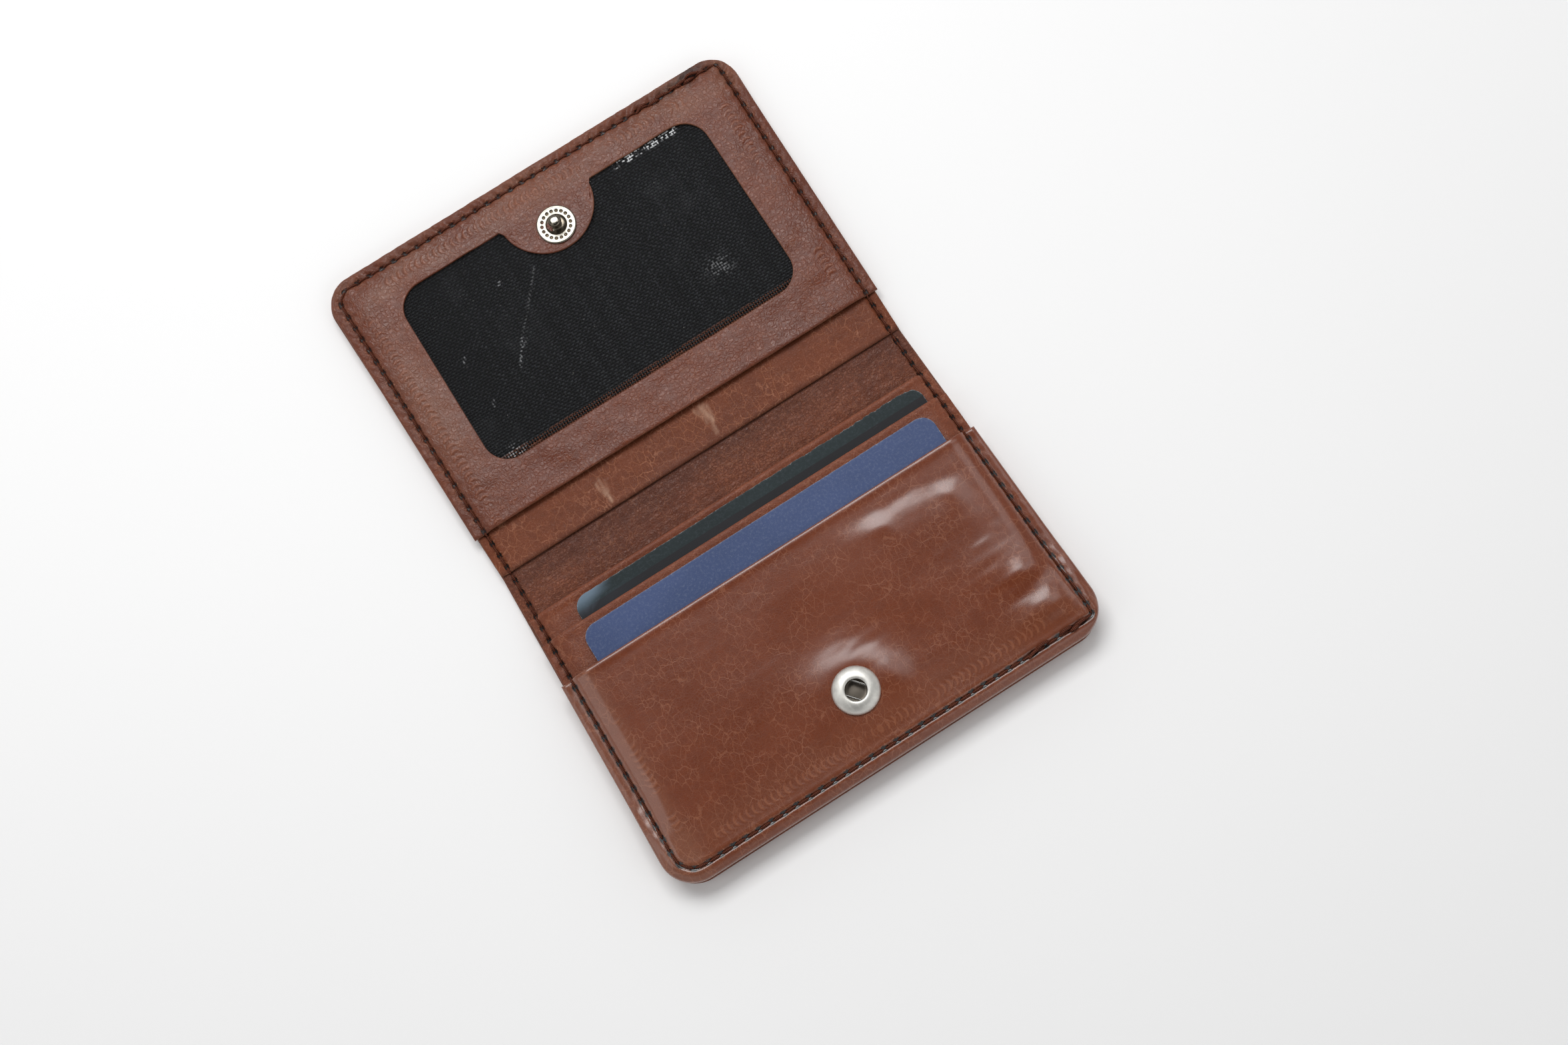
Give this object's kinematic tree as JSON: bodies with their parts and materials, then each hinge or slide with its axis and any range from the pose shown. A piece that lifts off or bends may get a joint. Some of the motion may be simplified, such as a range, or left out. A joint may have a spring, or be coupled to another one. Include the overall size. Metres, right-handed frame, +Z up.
{
  "type": "card case",
  "caption": "Bifold leather card case, open flat: a mesh window half, a soft spine, a half with stepped card pockets, and a snap that holds it shut.",
  "frame": {"origin": "middle of the outer face, on the floor, halfway along the spine", "axes": "+Y towards the window half, +X to the right along the spine, +Z up out of the inner face of the open case"},
  "size_m": [0.1046, 0.1528, 0.0098],
  "materials": {
    "cover_leather": "satin",
    "lining_leather": "satin",
    "panel_leather": "satin",
    "liner_fabric": "matte",
    "black_mesh": "satin",
    "snap_metal": "polished",
    "spring_wire": "polished",
    "thread": "satin",
    "dark_card": "satin",
    "blue_card": "satin",
    "insert_card": "gloss"
  },
  "bodies": {
    "pocket_half": {"cover_rear": "cover_leather", "lining_rear": "lining_leather", "pocket_panel_back": "panel_leather", "pocket_panel_middle": "panel_leather", "pocket_panel_front": "panel_leather", "pocket_liner_back": "liner_fabric", "pocket_liner_middle": "liner_fabric", "snap_socket": "snap_metal", "snap_socket_spring": "spring_wire", "snap_socket_backing": "snap_metal", "stitching_rear": "thread"},
    "spine": {"cover_spine": "cover_leather", "lining_spine": "lining_leather", "hidden_pocket_lip": "panel_leather", "stitching_spine": "thread"},
    "window_half": {"cover_front": "cover_leather", "lining_front": "lining_leather", "hidden_pocket_panel": "panel_leather", "window_frame_panel": "panel_leather", "window_mesh": "black_mesh", "snap_stud": "snap_metal", "snap_stud_backing": "snap_metal", "stitching_front": "thread"},
    "dark_card": {"card_dark": "dark_card"},
    "blue_card": {"card_blue": "blue_card"},
    "insert": {"window_insert": "insert_card"}
  },
  "joints": [
    {"name": "rear_crease", "type": "hinge", "parent": "pocket_half", "child": "spine", "pos_m": [0, -0.006, 0.0013], "axis": [-1, 0, 0], "range_deg": [-90, 0]},
    {"name": "front_crease", "type": "hinge", "parent": "spine", "child": "window_half", "pos_m": [0, 0.006, 0.0013], "axis": [-1, 0, 0], "range_deg": [-90, 0]},
    {"name": "dark_card_slide", "type": "slide", "parent": "pocket_half", "child": "dark_card", "axis": [0, 1, 0], "range_m": [0, 0.048]},
    {"name": "blue_card_slide", "type": "slide", "parent": "pocket_half", "child": "blue_card", "axis": [0, 1, 0], "range_m": [0, 0.048]},
    {"name": "insert_slide", "type": "slide", "parent": "window_half", "child": "insert", "axis": [0, -1, 0], "range_m": [0, 0.03]}
  ]
}
